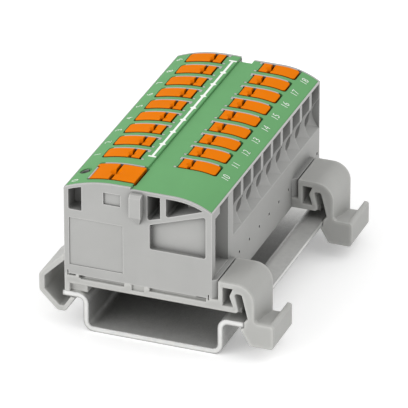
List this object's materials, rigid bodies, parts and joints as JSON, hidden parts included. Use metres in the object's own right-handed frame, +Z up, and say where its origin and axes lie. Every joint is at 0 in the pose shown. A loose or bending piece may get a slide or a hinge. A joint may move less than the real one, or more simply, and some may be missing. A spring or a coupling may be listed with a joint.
{
  "type": "power distribution block",
  "caption": "Push-in power distribution block: grey housing, green cover and orange release buttons, clipped on a short top-hat rail.",
  "frame": {"origin": "middle of the rail section's length and width, on the underside of its web", "axes": "+Z up through the cover, +Y along the rail away from the supply end, +X towards the rail's latch side"},
  "size_m": [0.0453, 0.0587, 0.0309],
  "materials": {
    "housing_plastic": "fine matt",
    "adapter_plastic": "fine matt",
    "cover_plastic": "fine matt",
    "button_plastic": "satin",
    "copper": "tinned copper, satin",
    "spring_steel": "bright",
    "zinc_steel": "zinc plated"
  },
  "bodies": {
    "block": {"housing": "housing_plastic", "top_cover": "cover_plastic", "busbar": "copper", "din_rail": "zinc_steel", "adapter_front": "adapter_plastic", "adapter_rear": "adapter_plastic", "spring_01": "spring_steel", "spring_02": "spring_steel", "spring_03": "spring_steel", "spring_04": "spring_steel", "spring_05": "spring_steel", "spring_06": "spring_steel", "spring_07": "spring_steel", "spring_08": "spring_steel", "spring_09": "spring_steel", "spring_10": "spring_steel", "spring_11": "spring_steel", "spring_12": "spring_steel", "spring_13": "spring_steel", "spring_14": "spring_steel", "spring_15": "spring_steel", "spring_16": "spring_steel", "spring_17": "spring_steel", "spring_18": "spring_steel", "spring_supply": "spring_steel"},
    "push_01": {"button_01": "button_plastic"},
    "push_02": {"button_02": "button_plastic"},
    "push_03": {"button_03": "button_plastic"},
    "push_04": {"button_04": "button_plastic"},
    "push_05": {"button_05": "button_plastic"},
    "push_06": {"button_06": "button_plastic"},
    "push_07": {"button_07": "button_plastic"},
    "push_08": {"button_08": "button_plastic"},
    "push_09": {"button_09": "button_plastic"},
    "push_10": {"button_10": "button_plastic"},
    "push_11": {"button_11": "button_plastic"},
    "push_12": {"button_12": "button_plastic"},
    "push_13": {"button_13": "button_plastic"},
    "push_14": {"button_14": "button_plastic"},
    "push_15": {"button_15": "button_plastic"},
    "push_16": {"button_16": "button_plastic"},
    "push_17": {"button_17": "button_plastic"},
    "push_18": {"button_18": "button_plastic"},
    "push_supply": {"button_supply": "button_plastic"}
  },
  "joints": [
    {"name": "press_01", "type": "slide", "parent": "block", "child": "push_01", "axis": [0, 0, -1], "range_m": [0, 0.0016], "stiffness_N_per_m": 1000, "deforming": ["spring_01"]},
    {"name": "press_02", "type": "slide", "parent": "block", "child": "push_02", "axis": [0, 0, -1], "range_m": [0, 0.0016], "stiffness_N_per_m": 1000, "deforming": ["spring_02"]},
    {"name": "press_03", "type": "slide", "parent": "block", "child": "push_03", "axis": [0, 0, -1], "range_m": [0, 0.0016], "stiffness_N_per_m": 1000, "deforming": ["spring_03"]},
    {"name": "press_04", "type": "slide", "parent": "block", "child": "push_04", "axis": [0, 0, -1], "range_m": [0, 0.0016], "stiffness_N_per_m": 1000, "deforming": ["spring_04"]},
    {"name": "press_05", "type": "slide", "parent": "block", "child": "push_05", "axis": [0, 0, -1], "range_m": [0, 0.0016], "stiffness_N_per_m": 1000, "deforming": ["spring_05"]},
    {"name": "press_06", "type": "slide", "parent": "block", "child": "push_06", "axis": [0, 0, -1], "range_m": [0, 0.0016], "stiffness_N_per_m": 1000, "deforming": ["spring_06"]},
    {"name": "press_07", "type": "slide", "parent": "block", "child": "push_07", "axis": [0, 0, -1], "range_m": [0, 0.0016], "stiffness_N_per_m": 1000, "deforming": ["spring_07"]},
    {"name": "press_08", "type": "slide", "parent": "block", "child": "push_08", "axis": [0, 0, -1], "range_m": [0, 0.0016], "stiffness_N_per_m": 1000, "deforming": ["spring_08"]},
    {"name": "press_09", "type": "slide", "parent": "block", "child": "push_09", "axis": [0, 0, -1], "range_m": [0, 0.0016], "stiffness_N_per_m": 1000, "deforming": ["spring_09"]},
    {"name": "press_10", "type": "slide", "parent": "block", "child": "push_10", "axis": [0, 0, -1], "range_m": [0, 0.0016], "stiffness_N_per_m": 1000, "deforming": ["spring_10"]},
    {"name": "press_11", "type": "slide", "parent": "block", "child": "push_11", "axis": [0, 0, -1], "range_m": [0, 0.0016], "stiffness_N_per_m": 1000, "deforming": ["spring_11"]},
    {"name": "press_12", "type": "slide", "parent": "block", "child": "push_12", "axis": [0, 0, -1], "range_m": [0, 0.0016], "stiffness_N_per_m": 1000, "deforming": ["spring_12"]},
    {"name": "press_13", "type": "slide", "parent": "block", "child": "push_13", "axis": [0, 0, -1], "range_m": [0, 0.0016], "stiffness_N_per_m": 1000, "deforming": ["spring_13"]},
    {"name": "press_14", "type": "slide", "parent": "block", "child": "push_14", "axis": [0, 0, -1], "range_m": [0, 0.0016], "stiffness_N_per_m": 1000, "deforming": ["spring_14"]},
    {"name": "press_15", "type": "slide", "parent": "block", "child": "push_15", "axis": [0, 0, -1], "range_m": [0, 0.0016], "stiffness_N_per_m": 1000, "deforming": ["spring_15"]},
    {"name": "press_16", "type": "slide", "parent": "block", "child": "push_16", "axis": [0, 0, -1], "range_m": [0, 0.0016], "stiffness_N_per_m": 1000, "deforming": ["spring_16"]},
    {"name": "press_17", "type": "slide", "parent": "block", "child": "push_17", "axis": [0, 0, -1], "range_m": [0, 0.0016], "stiffness_N_per_m": 1000, "deforming": ["spring_17"]},
    {"name": "press_18", "type": "slide", "parent": "block", "child": "push_18", "axis": [0, 0, -1], "range_m": [0, 0.0016], "stiffness_N_per_m": 1000, "deforming": ["spring_18"]},
    {"name": "press_supply", "type": "slide", "parent": "block", "child": "push_supply", "axis": [0, 0, -1], "range_m": [0, 0.0016], "stiffness_N_per_m": 1000, "deforming": ["spring_supply"]}
  ]
}
